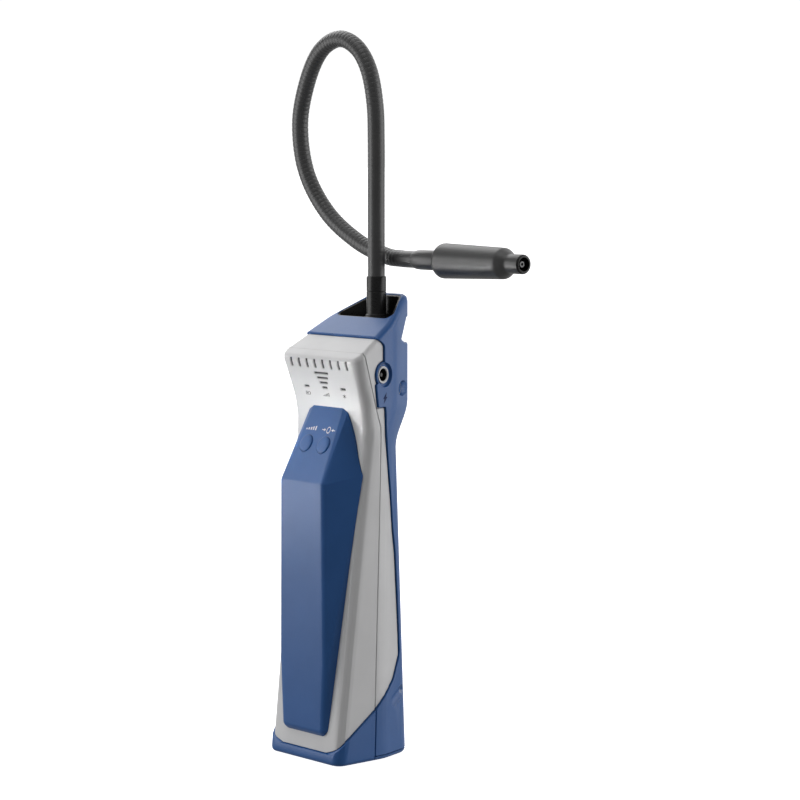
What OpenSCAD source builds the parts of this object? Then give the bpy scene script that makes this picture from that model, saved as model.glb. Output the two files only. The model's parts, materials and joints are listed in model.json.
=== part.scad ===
// Handheld refrigerant leak detector with a gooseneck sniffer probe.
// Millimetres. The grip and the lights face -Y, +Z is up, the charging jack is on +X,
// and the origin is the middle of the base on the floor.

/* [Handle] */
// Width of the base across its front
base_w = 58; // [50:0.5:64]
// Front of the base ahead of the origin
base_front = 30; // [27:0.5:34]
// Back of the base behind the origin
base_back = 25; // [22:0.5:30]
// Width across the back of the handle
handle_rear_w = 40; // [34:0.5:44]
// Back of the handle behind the origin, just under the head
handle_back = 16.9; // [15.5:0.1:20]
// Height where the handle's front face bends into the light face
waist_h = 180; // [176:0.5:186]
// Front face ahead of the origin at the waist
waist_front = 10.3; // [9:0.1:11.5]
// Width across the front at the waist
waist_w = 62.4; // [58:0.2:68]
/* [Head] */
// Width across the top of the light face
head_w = 67; // [62:0.5:72]
// Back of the head behind the origin
head_back = 30.2; // [29.8:0.1:34]
// Width across the back of the head
head_rear_w = 26; // [22:0.5:30]
// Width where the head's sides turn inwards
shoulder_w = 52; // [50:0.5:57]
// Place behind the origin where the head's sides turn inwards
shoulder_y = 10; // [8:0.5:12]
// Forward lean of the light face
light_tilt = 18.5; // [16:0.5:20]
// Slope of the top
top_slope = 32; // [30:0.5:34]
// Height of the sloping top above the waist, over the origin
top_rise = 42.7; // [41:0.1:48]
// Rounding round the top
top_edge_r = 2.6; // [1.5:0.1:3]
// Depth of the undercut round the back of the head
undercut = 3; // [1:0.1:3.4]
// Height above the waist where the undercut starts
undercut_rise = 50; // [48:0.5:52]
// Height of the ledge at the foot of the undercut above the waist
ledge_rise = 35.5; // [34:0.5:37]
/* [Shells] */
// Radius of the front corners
corner_r = 5; // [3.5:0.25:6]
// Wall of the case with its soft skin
wall = 2.8; // [2.4:0.1:3.2]
// Soft skin over the case
skin = 1.2; // [0.9:0.1:1.4]
// How far the soft skin and boot stand proud of the case
proud = 1.1; // [0.4:0.1:1.4]
// Front height of the boot
boot_h = 6; // [4.5:0.5:8]
// Height of the boot's side rim, carried on to the front
boot_side_h = 8.8; // [7:0.2:12]
// Slope of the boot's rim along the sides
boot_slope = 35.5; // [30:0.5:40]
// Depth of the light face's frame from face to seam
bezel_depth = 6.6; // [5.8:0.1:7.5]
// Seam between the case halves, ahead of the origin at the base
seam_base = 5.6; // [4:0.2:7]
// Seam between the case halves, ahead of the origin at the waist
seam_waist = 2; // [1:0.2:4]
// Shadow line between neighbouring pieces
shadow_gap = 0.5; // [0.3:0.1:0.8]
// Screw diameter
screw_d = 3; // [2.5:0.1:3.5]
// Pocket over each case screw
pocket_d = 8; // [7:0.25:8.5]
// Distance between the upper screws
screw_pitch = 40; // [39:0.5:42]
// Distance between the lower screws
low_screw_pitch = 28; // [27.5:0.1:29]
// Height of the lower screws
low_screw_h = 32; // [30:0.5:34]
// Height of the upper screws above the waist
high_screw_rise = 13; // [11:0.5:15]
// Extra height of the lower pockets
low_pocket_l = 8; // [4:0.5:9]
// Diameter of the slanting scoop low on each side of the handle
scoop_d = 9; // [8:0.25:9.5]
/* [Grip] */
// Front of the grip ahead of the origin
grip_front = 31; // [30.5:0.25:33]
// Width of the grip's front face
grip_face_w = 38.6; // [35:0.2:40]
// Widest part of the grip
grip_w = 56; // [52:0.5:57]
// Width of the grip's top edge
grip_top_w = 24; // [20:0.5:26]
// Lower end of the grip
grip_low = 14; // [13:0.5:18]
// Height where the grip's front face bends back
grip_bend = 146; // [142:0.5:149]
// Upper end of the grip above the waist
grip_rise = 4; // [2:0.5:6]
// Rounding of the grip's edges
grip_edge_r = 4; // [3:0.25:5]
// Thickness of the soft grip pad
pad = 2; // [1.6:0.1:2.4]
// Diameter of a button
button_d = 9; // [8:0.25:10]
// Distance between the buttons
button_pitch = 14.2; // [13:0.2:15.5]
// How far a button stands proud
button_proud = 0.9; // [0.6:0.1:1.2]
// Travel of a button
button_travel = 0.8; // [0.5:0.1:1]
/* [Lights] */
// Number of level lights
light_count = 8; // [6:1:8]
// Distance between level lights
light_pitch = 6.5; // [5.5:0.1:6.6]
// Width of a level light
light_w = 1.6; // [1.2:0.1:2]
// Length of a level light
light_l = 4.8; // [4:0.1:5]
// Distance of the level lights up the light face
light_up = 28; // [27:0.1:28.2]
// Number of sensitivity bars
bar_count = 4; // [3:1:4]
// Length of the longest sensitivity bar
bar_l = 11.4; // [10:0.2:12]
// How much shorter each sensitivity bar is than the one above
bar_step = 2.4; // [1.8:0.1:2.8]
// Height of a sensitivity bar
bar_w = 1.2; // [0.9:0.1:1.4]
// Distance between sensitivity bars
bar_pitch = 2.7; // [2.2:0.1:2.8]
// Length of a status window
window_l = 4; // [3:0.2:4.6]
// Place of the status windows to each side of the middle
window_x = 15; // [14:0.1:15.4]
/* [Jack] */
// Height of the charging jack above the waist
jack_rise = 21.5; // [19:0.5:23]
// Place of the charging jack behind the origin
jack_y = 1.2; // [0:0.2:2.4]
// Pocket round the jack
jack_pocket_d = 12.6; // [11.5:0.2:13.4]
// Outside diameter of the jack's ring nut
jack_ring_d = 9; // [8.8:0.1:10]
// Bore of the jack
jack_bore = 6.3; // [5.9:0.1:6.5]
// Length of the jack behind the wall
jack_l = 11; // [9:0.5:13]
/* [Gooseneck] */
// Outside diameter of the gooseneck
neck_d = 9; // [8.4:0.1:9.2]
// Place of the gooseneck behind the origin
neck_y = 20; // [19.6:0.1:20.4]
// Width of the well at its front
well_front_w = 45; // [42:0.5:46]
// Width of the well at its back
well_back_w = 21; // [19:0.5:22]
// Front of the well behind the origin
well_front = 10.7; // [9.5:0.1:11.5]
// Back of the well behind the origin
well_back = 27.1; // [27:0.1:27.3]
// Floor of the well above the waist
well_rise = 48.6; // [48:0.1:49.2]
// Wall of the well's liner
liner = 1; // [0.8:0.1:1.2]
// Diameter of the collar's flange
flange_d = 13.8; // [13:0.1:14]
// Thickness of the collar's flange
flange_t = 2.4; // [2:0.1:3]
// Diameter of the collar's sleeves
collar_d = 10.4; // [10:0.1:11]
// Length of the collar's lower sleeve
collar_l = 12; // [10:0.5:13]
// Length of the collar's upper sleeve
sleeve_l = 8; // [6:0.5:8.4]
/* [Probe] */
// Length of the cuff on the probe's hose
cuff_l = 20.5; // [16:0.5:21]
// Barrel diameter at the cuff
barrel_d = 18.6; // [17.5:0.1:20]
// Barrel diameter at the shoulder
barrel_tip_d = 16; // [15.4:0.1:17]
// Length of the barrel
barrel_l = 48; // [45:0.5:56]
// Length of the shoulder
shoulder_l = 5; // [3.5:0.5:7]
// Diameter of the nose
nose_d = 10; // [9.4:0.1:11]
// Length of the nose
nose_l = 9.5; // [8:0.5:14]
// Bore of the nose
nose_bore = 7.2; // [6.4:0.1:7.6]
// Outside diameter of the inlet tube
inlet_d = 3; // [2.4:0.1:3.4]
// Bore of the inlet tube
inlet_bore = 1.6; // [1.2:0.1:1.8]
// Diameter of the infrared cell
cell_d = 12.4; // [11.5:0.1:12.8]
// Length of the infrared cell
cell_l = 34; // [28:0.5:36]
/* [Inside] */
// Thickness of the circuit boards
board_t = 1.6; // [1:0.1:2]
// Width of the main board
board_w = 46; // [42:0.5:48]
// Length of the main board
board_l = 104; // [90:1:105]
// Height of the main board's middle
board_h = 96; // [94:0.5:97]
// Diameter of the battery stick
battery_d = 18.2; // [16:0.2:18.6]
// Length of the battery stick
battery_l = 124; // [100:1:130]
// Width of the pump's head
pump_w = 24; // [20:0.5:26]
// Length of the pump's head
pump_head_l = 16; // [12:0.5:18]
// Diameter of the pump's motor
motor_d = 14; // [12:0.5:15]
// Length of the pump's motor
motor_l = 24; // [18:0.5:28]
// Diameter of the sounder
sounder_d = 14; // [10:0.5:16]
// Height of the sounder
sounder_l = 7; // [5:0.5:8]
// Outside diameter of the sample tube
tube_d = 4; // [3.4:0.1:4.4]
/* [Battery door] */
// Thickness of the battery door
door_t = 2.2; // [1.8:0.1:2.8]
// Travel of the battery door until its hooks are free
door_travel = 9; // [6:0.5:10]
// Gap round moving pieces
clearance = 0.35; // [0.3:0.05:0.5]

/* [Hidden] */
$fn = 48;
eps = 0.01;
far = 400;
corner_steps = 4;
turn_steps = 2;
rear_steps = 5;
edge_steps = 3;
bend_steps = 8;
turn_r = 22;
handle_rear_r = 12;
head_rear_r = 7;
base_edge_r = 2.4;
// Bend of the front face and flare of the back, each a smooth blend over these heights
bend_half = 15;
flare_drop = 17;
flare_rise = 6;
flare_low = waist_h - flare_drop;
flare_high = waist_h + flare_rise;
handle_turn_in = 1.2;
handle_turn_y = 2;
floor_t = 2.4;
top_h = waist_h + top_rise;
undercut_top = waist_h + undercut_rise;
undercut_low = waist_h + ledge_rise;
high_screw_h = waist_h + high_screw_rise;
grip_top = waist_h + grip_rise;
jack_h = waist_h + jack_rise;
well_floor = waist_h + well_rise;
lean = (base_front - waist_front) / waist_h;
light_k = tan(light_tilt);
top_k = tan(top_slope);

case_grey = "#c3c5c8";
soft_blue = "#3f5f94";
black = "#26272a";
dark = "#3a3b3e";
steel = "#a8abb0";
lens_dark = "#54585e";
board_green = "#2f6b4a";

function mix(a, b, t) = a + (b - a) * t;
function unit(v) = v / norm(v);
function smooth(t) = let (u = min(max(t, 0), 1)) u * u * (3 - 2 * u);

// Front, back and width of the case at a height
function handle_face(z) = -base_front + z * lean;
function light_face(z) = -waist_front - (z - waist_h) * light_k;
function bend_t(z) = (z - waist_h + bend_half) / (2 * bend_half);
function bend_y(t) = mix(mix(handle_face(waist_h - bend_half), -waist_front, t),
                         mix(-waist_front, light_face(waist_h + bend_half), t), t);
function front_y(z) = z < waist_h - bend_half ? handle_face(z)
                    : z > waist_h + bend_half ? light_face(z) : bend_y(bend_t(z));
function head_t(z) = smooth((z - flare_low) / (flare_high - flare_low));
function back_y(z) = mix(mix(base_back, handle_back, min(z / flare_low, 1)), head_back, head_t(z));
function half_w(z) = z < waist_h ? mix(base_w, waist_w, z / waist_h) / 2
                                 : mix(waist_w, head_w, (z - waist_h) / (light_top - waist_h)) / 2;
// Where the sloping top, lowered by drop, meets the light face and the back
function top_front(drop) = (top_h - drop + top_k * (waist_h * light_k - waist_front)) / (1 + top_k * light_k);
function top_back(drop) = top_h - drop + top_k * head_back;
light_top = top_front(0);

// A corner b of an outline moved in by d from both of its edges, and rounded by an arc
function inset(a, b, c, d) = let (u = unit(a - b), v = unit(c - b)) b + (u + v) * d / abs(cross(u, v));
function arc(a, b, c, r, n) =
    let (u = unit(a - b), v = unit(c - b), half = acos(u * v) / 2,
         o = b + unit(u + v) * r / sin(half),
         s = b + u * r / tan(half) - o, e = b + v * r / tan(half) - o,
         from = atan2(s.y, s.x), turn = atan2(cross(s, e), s * e))
    [for (i = [0 : n]) o + r * [cos(from + turn * i / n), sin(from + turn * i / n)]];
function rounded(p, r, n) = let (m = len(p))
    [for (i = [0 : m - 1]) each arc(p[(i + m - 1) % m], p[i], p[(i + 1) % m], r[i], n[i])];

// One rib of the case: its outline between a front height and a back height, moved in by d
function rib(zf, zb, d) =
    let (yf = front_y(zf), yb = back_y(zb), t = head_t(zb), w = half_w(zf),
         turn = mix([w - handle_turn_in, handle_turn_y], [shoulder_w / 2, shoulder_y], t),
         rear = mix(handle_rear_w, head_rear_w, t) / 2, rear_r = mix(handle_rear_r, head_rear_r, t),
         p = [[w, yf], turn, [rear, yb], [-rear, yb], [-turn.x, turn.y], [-w, yf]],
         q = [for (i = [0 : 5]) inset(p[(i + 5) % 6], p[i], p[(i + 1) % 6], d)],
         r = [for (k = [corner_r, turn_r, rear_r, rear_r, turn_r, corner_r]) max(k - d, corner_r / 4)],
         n = [corner_steps, turn_steps, rear_steps, rear_steps, turn_steps, corner_steps])
    [for (k = rounded(q, r, n)) [k.x, k.y, zf + (k.y - yf) * (zb - zf) / (yb - yf)]];
function quarter(r) = r > 0 ? [for (i = [0 : edge_steps]) 90 * i / edge_steps] : [0];
function ribs(d, low, drop, base_r, top_r) = [
    for (a = quarter(base_r)) let (z = low + base_r * (1 - cos(a)))
        rib(z, z, d + base_r * (1 - sin(a))),
    for (i = [0 : bend_steps]) let (t = i / bend_steps)
        rib(mix(waist_h - bend_half, waist_h + bend_half, t), mix(flare_low, flare_high, t), d),
    for (a = quarter(top_r)) let (fall = drop + top_r * (1 - sin(a)) / cos(top_slope))
        rib(top_front(fall), top_back(fall), d + top_r * (1 - cos(a)))];
function loft_sides(n, m) = [for (j = [0 : m - 2], i = [0 : n - 1])
    let (a = j * n + i, b = j * n + (i + 1) % n)
    each [[a, a + n, b + n], [a, b + n, b]]];
module loft(rows) {
    n = len(rows[0]);
    m = len(rows);
    polyhedron([for (row = rows) each row],
               concat([[for (i = [0 : n - 1]) i]], loft_sides(n, m), [[for (i = [1 : n]) m * n - i]]));
}
// The undercut tapers in below the top, round the back of the head, and ends on a ledge
undercut_turn = 40;
ledge_r = 1.5;
module undercut_space(d) {
    for (turn = [-undercut_turn, 0, undercut_turn])
        rotate([0, 0, turn])
            across([[far, undercut_top], [head_back - d, undercut_top],
                    [head_back - d - undercut, undercut_low - d + ledge_r],
                    [head_back - d - undercut + ledge_r, undercut_low - d],
                    [far, undercut_low - d - undercut]]);
}
// The outside of the case, moved in by d
module case_form(d, low = 0, drop = 0, base_r = 0, top_r = 0) {
    difference() {
        loft(ribs(d, low, drop, base_r, top_r));
        undercut_space(d);
    }
}
module cavity() case_form(wall, low = door_t + clearance + floor_t, drop = wall / cos(top_slope));

// A prism across the object, from an outline seen from the side
module across(p) rotate([90, 0, 90]) linear_extrude(far, center = true) polygon(p);
seam_turn = waist_h + (bezel_depth - waist_front + seam_waist) / light_k;
function seam_head(z) = light_face(z) + bezel_depth;
function seam(gap) = [[-seam_base + gap, -far], [-seam_base + gap, 0], [-seam_waist + gap, seam_turn],
                      [seam_head(far) + gap, far]];
module front_zone() across(concat(seam(0), [[-far, far], [-far, -far]]));
module rear_zone() across(concat(seam(0), [[far, far], [far, -far]]));
// The boot's rim turns up round the corners and rises along the sides, and the rear skin carries the line on
boot_rise = tan(boot_slope);
boot_front = base_front + proud;
boot_turn = base_front - corner_r;
function rim(y) = boot_side_h + (y + boot_front) * boot_rise;
boot_ease = 8.5;
boot_lift = 16;
boot_climb = (rim(-boot_turn) - boot_h - (boot_ease + proud) * tan(boot_lift)) / corner_r;
module boot_zone(gap = 0) {
    across([[-far, -far], [-far, boot_h - gap], [proud - base_front, boot_h - gap],
            [-boot_turn, rim(-boot_turn) - gap], [shoulder_y, rim(shoulder_y) - gap], [shoulder_y, -far]]);
    for (side = [0, 1])
        intersection() {
            mirror([side, 0, 0])
                translate([base_w / 2 - boot_ease, -base_front, boot_h - gap])
                    rotate([atan(boot_climb * cos(boot_lift)), -boot_lift, 0])
                        translate([-far / 2, -far / 2, -far])
                            cube(far);
            translate([-far / 2, -far - boot_turn, -far / 2])
                cube(far);
        }
}
// The skin's edge on the side: its lip on top, the throat and ear round the jack, the strip down the handle
skin_lip = -4.6;
lip_rise = 40.5;
lip_h = waist_h + lip_rise;
lip_r = 2;
throat = 0.9;
throat_rise = 37;
throat_h = waist_h + throat_rise;
throat_r = 3;
ear = -6;
ear_drop = 5;
ear_low = -4.4;
step_rise = 4.4;
step_h = waist_h + step_rise;
step_r = 0.5;
strip_top = 1.6;
strip_drop = 12;
strip_top_h = waist_h - strip_drop;
strip_top_r = 20;
strip_mid = 12;
strip_mid_h = 108;
strip_mid_r = 60;
strip_low = 16;
strip_low_h = 54;
strip_low_r = 8;
hip = 3;
hip_r = 10;
heel_r = 20;
jack_rim = 0.5;
skin_steps = 4;
function skin_edge(gap) = [
    [far, far, lip_r], [skin_lip + gap, far, lip_r], [skin_lip + gap, lip_h, lip_r],
    [throat + gap, throat_h, throat_r], [throat + gap, jack_h, step_r],
    [ear + gap, jack_h - ear_drop, step_r],
    [ear_low + gap, step_h + gap, step_r], [strip_top + gap, step_h + gap, step_r],
    [strip_top + gap, strip_top_h, strip_top_r], [strip_mid + gap, strip_mid_h, strip_mid_r],
    [strip_low + gap, strip_low_h, strip_low_r], [shoulder_y, rim(shoulder_y) + hip - gap, hip_r],
    [-seam_base, rim(-seam_base) - gap, heel_r], [-boot_front, rim(-boot_front) - gap, step_r],
    [-boot_front, -far, step_r], [far, -far, step_r]];
module skin_zone(gap = 0) rotate([90, 0, 90]) linear_extrude(far, center = true) {
    edge = skin_edge(gap);
    polygon(rounded([for (e = edge) [e.x, e.y]], [for (e = edge) e.z],
                    [for (e = edge) e.z > step_r ? skin_steps : 1]));
    translate([jack_y, jack_h])
        circle(d = jack_pocket_d + 2 * (jack_rim + shadow_gap - gap));
}

// The grip: a soft coffin-shaped pad over a hollow bulge of the front shell
grip_wall = 2.2;
grip_tilt = atan((grip_front + front_y(grip_top)) / (grip_top - grip_bend));
grip_taper = 8.2;
grip_crown = 0.8;
grip_turn = 3.6;
grip_foot = 30;
grip_heel = 3.6;
grip_tuck = 1;
grip_shoulder = grip_top_w / 2 + grip_turn;
// Points at half the width, each with its height and the direction it moves in as the grip gets smaller
grip_face = [[grip_face_w / 2, grip_bend, -tan(grip_tilt / 2)],
             [grip_face_w / 2 + grip_crown, grip_low + grip_face_w, 0],
             [grip_face_w / 2 - grip_tuck, grip_low, 1]];
grip_rim = [[grip_top_w / 2, grip_top, -1], [grip_shoulder, grip_top - grip_turn / 2, -0.8],
            [mix(grip_shoulder, grip_w / 2, 0.5) + grip_crown, mix(grip_bend, grip_top, 0.5), -0.6],
            [grip_w / 2, grip_bend + grip_edge_r, 0], [grip_w / 2 - grip_taper, grip_low + grip_foot, 0],
            [grip_face_w / 2 - grip_tuck, grip_low + grip_heel, 0.5],
            [grip_face_w / 2 - grip_tuck - grip_heel, grip_low, 1]];
module grip_form(d) {
    r = grip_edge_r;
    hull()
        for (side = [-1, 1]) {
            for (p = grip_face)
                translate([side * (p.x - d - r), d + r - grip_front, p.y + p.z * (d + r)])
                    sphere(r, $fn = 32);
            for (p = grip_rim)
                translate([side * (p.x - d), front_y(p.y) + shadow_gap + d / 2, p.y + p.z * d])
                    sphere(shadow_gap, $fn = 8);
        }
}
// Frames on the light face and on the grip's sloping face: X across, Z up the face, Y inwards
module on_lights() translate([0, -waist_front, waist_h]) rotate([light_tilt, 0, 0]) children();
button_h = mix(grip_bend, grip_top, 0.5);
module on_grip() translate([0, (button_h - grip_bend) * tan(grip_tilt) - grip_front, button_h])
    rotate([-grip_tilt, 0, 0]) children();
module at_buttons() on_grip() for (side = [-1, 1]) translate([side * button_pitch / 2, 0, 0]) children();
module along_y(d, from, to) translate([0, from, 0]) rotate([-90, 0, 0]) cylinder(d = d, h = to - from);
// A bar with rounded corners, w across and l up, that reaches in from depth a to depth b
module bar(w, l, a, b, r = 0.3) {
    translate([0, b, 0])
        rotate([90, 0, 0])
            linear_extrude(b - a)
                polygon(rounded([[w, l], [-w, l], [-w, -l], [w, -l]] / 2, [r, r, r, r], [3, 3, 3, 3]));
}
module level_slots(fit, a, b) {
    for (i = [0 : light_count - 1])
        translate([(i - (light_count - 1) / 2) * light_pitch, 0, light_up])
            bar(light_w - 2 * fit, light_l - 2 * fit, a, b);
}
bars_up = light_up - light_l / 2 - bar_w - light_w;
module sensitivity_slots(fit, a, b) {
    for (i = [0 : bar_count - 1])
        translate([0, 0, bars_up - i * bar_pitch])
            bar(bar_l - i * bar_step - 2 * fit, bar_w - 2 * fit, a, b);
}
window_up = bars_up - bar_pitch * (bar_count - 1);
module status_slots(fit, a, b) {
    for (side = [-1, 1])
        translate([side * window_x, 0, window_up])
            bar(window_l - 2 * fit, bar_w - 2 * fit, a, b);
}
carrier_t = 2;
carrier_rim = 2.2;
carrier_drop = 0.6;
carrier_w = (light_count - 1) * light_pitch + light_w + carrier_rim;
lens_fit = 0.05;
lens_sunk = 0.5;
lens_lap = 0.4;
lens_seat = wall - lens_lap;
board_seat = lens_seat + carrier_t;
// The carriers behind the light face: a strip for the level lights, a wider panel for the rest
module level_carrier(fit, a, b) {
    translate([0, 0, light_up - carrier_drop])
        bar(carrier_w + 2 * fit, light_l + 2 * fit, a, b, r = 1);
}
module status_carrier(fit, a, b) {
    rim = carrier_rim + 2 * fit;
    translate([0, 0, mix(bars_up, window_up, 0.5)])
        bar(2 * window_x + window_l + rim, bars_up - window_up + bar_w + rim, a, b, r = 1);
}

// Places inside the case
battery_y = handle_back - wall - battery_d / 2 - clearance;
battery_low = door_t + clearance;
battery_top = battery_low + battery_l;
contact_t = 3;
bay_side = 5;
bay_w = battery_d + 2 * bay_side;
bay_end = 1.5;
bay_back = battery_y + battery_d / 2 + bay_end;
board_back = battery_y - battery_d / 2 - clearance;
board_y = board_back - board_t;
board_low = board_h - board_l / 2;
board_top = board_h + board_l / 2;
case_floor = door_t + clearance + floor_t;
boot_floor = 1.5;
boss_wall = 2;
boss_d = screw_d + 2 * boss_wall;
post_d = 5;
module at_screws() {
    for (side = [-1, 1], s = [[low_screw_pitch, low_screw_h], [screw_pitch, high_screw_h]])
        translate([side * s.x / 2, 0, s.y])
            children();
}
module at_board_posts() {
    for (side = [-1, 1], z = [board_low + post_d, board_top - post_d])
        translate([side * (board_w / 2 - post_d), 0, z])
            children();
}
cap_depth = pad + grip_wall;
button_flange = 1;
flange_w = button_d + 2 * button_flange + 2 * clearance;
plunger_y = cap_depth + clearance + button_flange + button_travel + clearance;
switch_h = 3.5;
plunger_l = 1;
key_w = 6;
switch_y = plunger_y + switch_h;
switch_post_x = button_pitch / 2 + button_d / 2 + post_d / 2 + 2 * button_flange;
module front_posts() {
    at_screws()
        along_y(boss_d, -far, far);
    at_board_posts()
        along_y(post_d, -far, board_y);
    on_grip()
        for (side = [-1, 1])
            translate([side * switch_post_x, 0, 0])
                along_y(post_d, pad, switch_y);
}
seat_depth = 4;
screw_seat = handle_back - seat_depth;
screw_bite = 7;
screw_tip = -seam_base - screw_bite;
// The scoop's ends, from the handle's side, its back and the lower screw
scoop_top = [-3.8, 2, 1.5];
scoop_foot = [-0.9, -5.5, -2.4];
module screw_pockets() {
    at_screws()
        along_y(pocket_d, screw_seat, far);
    for (side = [-1, 1])
        translate([side * low_screw_pitch / 2, 0, low_screw_h - low_pocket_l])
            along_y(pocket_d, screw_seat, far);
    for (side = [-1, 1])
        translate([(side * low_screw_pitch - pocket_d) / 2, screw_seat, low_screw_h - low_pocket_l])
            cube([pocket_d, far, low_pocket_l]);
    for (side = [0, 1])
        mirror([side, 0, 0])
            hull()
                for (p = [scoop_top, scoop_foot])
                    translate(p + [half_w(low_screw_h), handle_back, low_screw_h])
                        sphere(d = scoop_d, $fn = 24);
}
// The well in the top that the gooseneck stands in
well_r = 2;
well_back_r = 3;
well_steps = 3;
function well(d) = let (p = [[-well_front_w / 2, well_front], [well_front_w / 2, well_front],
                             [well_back_w / 2, well_back], [-well_back_w / 2, well_back]])
    rounded([for (i = [0 : 3]) inset(p[(i + 3) % 4], p[i], p[(i + 1) % 4], -d)],
            [for (k = [well_r, well_r, well_back_r, well_back_r]) k + d], [for (i = [0 : 3]) well_steps]);
module well_space(d, low) translate([0, 0, low]) linear_extrude(far) polygon(well(d));
// The jack stands square to the head's side
jack_front = front_y(jack_h);
jack_turn = atan((half_w(jack_h) - shoulder_w / 2) / (shoulder_y - jack_front));
jack_x = mix(half_w(jack_h), shoulder_w / 2, (jack_y - jack_front) / (shoulder_y - jack_front));
module at_jack() translate([jack_x, jack_y, jack_h]) rotate([0, 90, jack_turn]) children();
jack_wall = 0.8;
jack_body_d = jack_bore + 2 * jack_wall;
jack_floor = 0.6;

module front_shell() color(case_grey) {
    difference() {
        union() {
            intersection() {
                union() {
                    difference() {
                        case_form(0, top_r = top_edge_r);
                        boot_zone();
                    }
                    intersection() {
                        case_form(skin, low = boot_floor);
                        boot_zone();
                    }
                }
                front_zone();
            }
            grip_form(pad);
        }
        difference() {
            union() {
                cavity();
                grip_form(pad + grip_wall);
            }
            front_posts();
        }
        at_screws()
            along_y(screw_d + 2 * lens_fit, screw_tip - lens_fit, far);
        on_lights() {
            level_slots(0, -wall, 2 * wall);
            sensitivity_slots(0, -wall, 2 * wall);
            status_slots(0, -wall, 2 * wall);
            level_carrier(clearance, lens_seat, 3 * wall);
            status_carrier(clearance, lens_seat, 2 * wall);
        }
        at_buttons() {
            along_y(button_d + 2 * clearance, -wall, cap_depth + wall);
            along_y(flange_w + 2 * clearance, cap_depth, switch_y);
        }
    }
}
module front_boot() color(soft_blue) {
    difference() {
        intersection() {
            case_form(-proud, base_r = base_edge_r);
            boot_zone(shadow_gap);
            front_zone();
        }
        case_form(skin, low = boot_floor);
    }
}
module grip_pad() color(soft_blue) {
    difference() {
        grip_form(0);
        grip_form(pad);
        case_form(0);
        at_buttons()
            along_y(button_d + 2 * clearance, -far / 2, far / 2);
    }
}
module button() {
    flange_y = cap_depth + clearance;
    along_y(button_d, -button_proud, flange_y + button_flange);
    along_y(flange_w, flange_y, flange_y + button_flange);
}
module mode_button() color(soft_blue) on_grip() translate([-button_pitch / 2, 0, 0]) button();
module zero_button() color(soft_blue) on_grip() translate([button_pitch / 2, 0, 0]) button();
module switch_board() color(board_green) {
    on_grip()
        translate([0, switch_y, 0])
            bar(2 * switch_post_x + post_d / 2, flange_w, 0, board_t, r = 1);
}
module key_switches() color(black) {
    at_buttons() {
        along_y(key_w / 2, plunger_y, switch_y);
        translate([-key_w / 2, plunger_y + plunger_l, -key_w / 2])
            cube([key_w, switch_h - plunger_l, key_w]);
    }
}
module level_lens() color(lens_dark) {
    on_lights() {
        level_slots(lens_fit, lens_sunk, board_seat);
        level_carrier(0, lens_seat + lens_fit, board_seat);
    }
}
module status_lens() color(lens_dark) {
    on_lights() {
        sensitivity_slots(lens_fit, lens_sunk, board_seat);
        status_slots(lens_fit, lens_sunk, board_seat);
        status_carrier(0, lens_seat + lens_fit, board_seat);
    }
}
module light_board() color(board_green) {
    low = bars_up - bar_count * bar_pitch - post_d;
    w = screw_pitch - boss_d - post_d;
    on_lights() {
        level_carrier(0, board_seat, board_seat + board_t);
        translate([0, 0, mix(low, light_up, 0.5)])
            bar(w, light_up - low, board_seat, board_seat + board_t, r = 1);
    }
}
module rear_bosses() {
    at_screws()
        along_y(boss_d, -far, screw_seat);
    at_screws()
        along_y(pocket_d + 2 * floor_t, screw_seat - floor_t, far);
    for (side = [-1, 1])
        translate([side * low_screw_pitch / 2, 0, low_screw_h - low_pocket_l])
            along_y(pocket_d + 2 * floor_t, screw_seat - floor_t, far);
    for (z = [low_screw_h + pocket_d, board_top - 3 * pocket_d])
        difference() {
            translate([-battery_d / 2 - wall, battery_y, z])
                cube([battery_d + 2 * wall, far, floor_t]);
            translate([0, battery_y, 0])
                cylinder(d = battery_d + clearance, h = far);
        }
    translate([-battery_d / 2 - wall, battery_y - battery_d / 2, battery_top + contact_t])
        cube([battery_d + 2 * wall, far, floor_t]);
}
module rear_shell() color(case_grey) {
    difference() {
        intersection() {
            union() {
                difference() {
                    case_form(0, low = door_t + clearance, top_r = top_edge_r);
                    skin_zone();
                }
                intersection() {
                    case_form(skin, low = door_t + clearance, drop = skin / cos(top_slope));
                    skin_zone();
                }
            }
            rear_zone();
        }
        difference() {
            cavity();
            rear_bosses();
        }
        difference() {
            across(concat(seam(0), [for (i = [3 : -1 : 0]) seam(shadow_gap)[i]]));
            case_form(skin / 2, top_r = top_edge_r);
        }
        at_screws()
            along_y(screw_d + clearance, -far, far);
        screw_pockets();
        well_space(liner, well_floor - liner);
        at_jack()
            cylinder(d = jack_body_d, h = far, center = true);
        translate([-bay_w / 2, -far, -far])
            cube([bay_w, far + bay_back, far + case_floor + eps]);
    }
}
module rear_skin() color(soft_blue) {
    difference() {
        intersection() {
            case_form(-proud, low = door_t + clearance, drop = -proud / cos(top_slope),
                      top_r = top_edge_r + proud);
            skin_zone(shadow_gap);
            across(concat(seam(shadow_gap), [[far, far], [far, -far]]));
        }
        case_form(skin, low = door_t + clearance, drop = skin / cos(top_slope));
        screw_pockets();
        well_space(liner, well_floor - liner);
        at_jack() {
            cylinder(d = jack_ring_d + 2 * lens_fit, h = far, center = true);
            translate([0, 0, jack_floor - skin])
                cylinder(d = jack_pocket_d, h = far);
        }
    }
}
well_rim = top_h + proud / cos(top_slope) - skin / 2;
shank_step = 1;
shank_d = neck_d - 2 * shank_step;
nut_t = 3;
nipple_l = 3;
collar_low = well_floor + flange_t;
collar_high = collar_low + collar_l;
neck_seat = 1;
neck_low = collar_low + neck_seat;
neck_bore = neck_d + 2 * lens_fit;
neck_out = collar_high + sleeve_l;
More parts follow.
